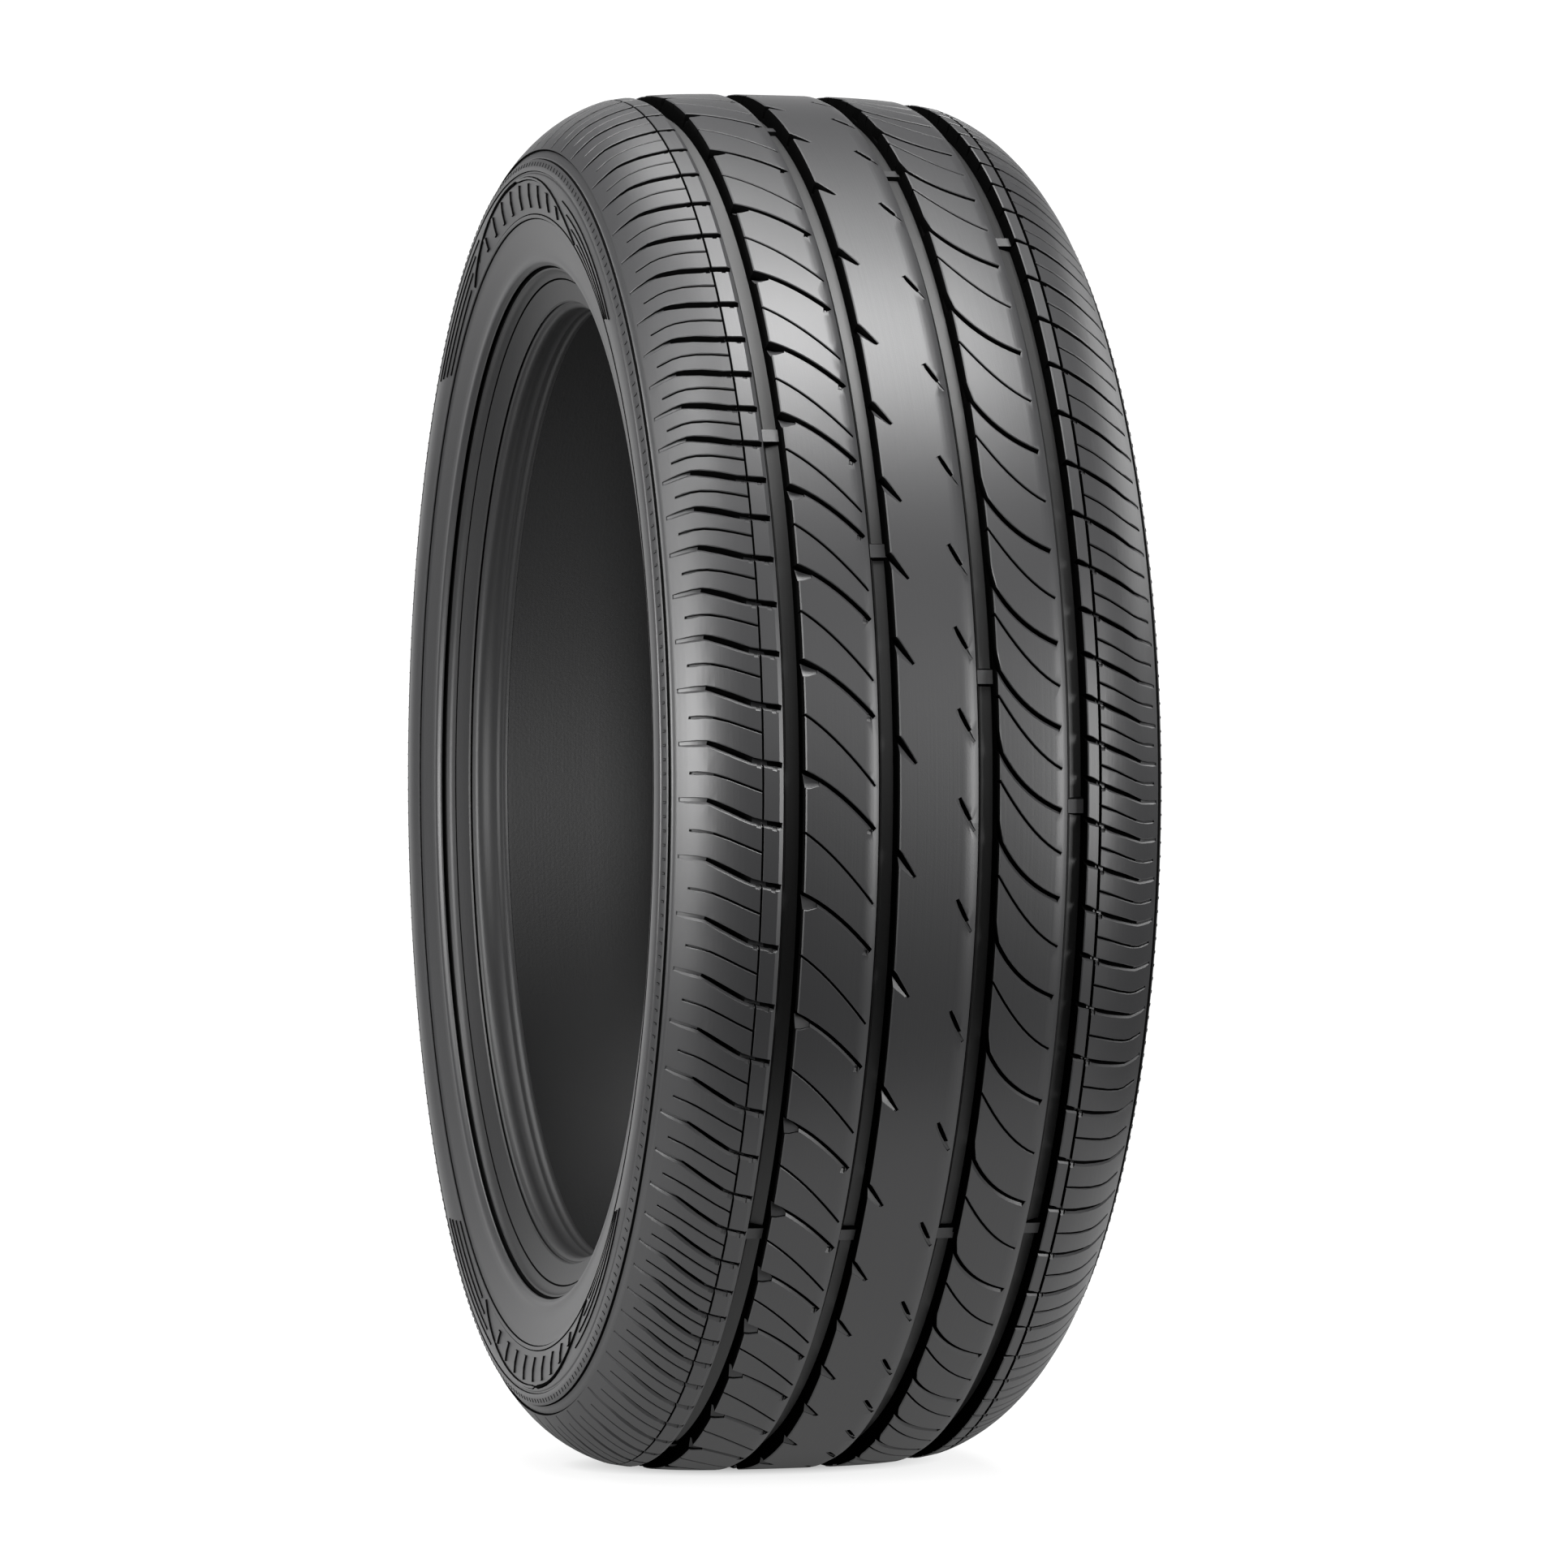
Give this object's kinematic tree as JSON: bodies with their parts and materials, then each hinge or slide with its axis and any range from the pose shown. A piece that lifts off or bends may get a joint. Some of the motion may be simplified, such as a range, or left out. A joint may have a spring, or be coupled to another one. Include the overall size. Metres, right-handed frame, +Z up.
{
  "type": "car tyre",
  "caption": "Low-profile road tyre with straight ribs, slanted lateral grooves and an open air cavity, standing on its tread.",
  "frame": {"origin": "centre of the tyre, on the wheel axis and in the middle plane of the tread", "axes": "+Y along the wheel axis, away from the sidewall that the picture shows; +Z up, with the tyre standing on the flat of its tread at -Z; +X the side whose tread the picture shows"},
  "size_m": [0.6342, 0.221, 0.6328],
  "materials": {
    "tyre_rubber": "moulded black rubber, matt with a soft sheen"
  },
  "bodies": {
    "root": {"tyre": "tyre_rubber"}
  },
  "joints": []
}
